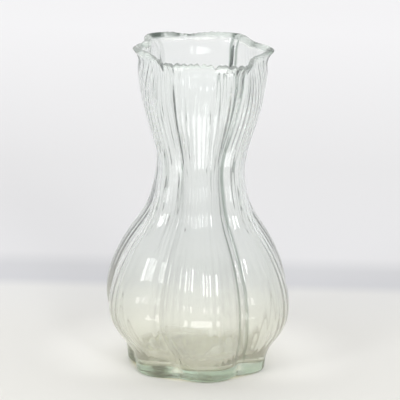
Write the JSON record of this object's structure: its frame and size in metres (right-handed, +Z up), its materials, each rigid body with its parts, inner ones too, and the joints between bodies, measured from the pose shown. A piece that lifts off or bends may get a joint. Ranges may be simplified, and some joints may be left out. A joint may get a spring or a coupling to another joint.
{
  "type": "flower vase",
  "caption": "Clear pale green glass flower vase with a lobed bulbous body, a narrow waist and a flared, scalloped mouth on a thick lobed foot.",
  "frame": {"origin": "on the table, at the middle of the flat underside of the foot", "axes": "+Z up along the vase's axis, -Y towards the front, where one lobe of the body faces, +X to the right"},
  "size_m": [0.115, 0.1226, 0.205],
  "materials": {
    "glass": "clear glass with a faint green tint, fire polished, thick and greener in the floor and the lip"
  },
  "bodies": {
    "root": {"vase": "glass"}
  },
  "joints": []
}
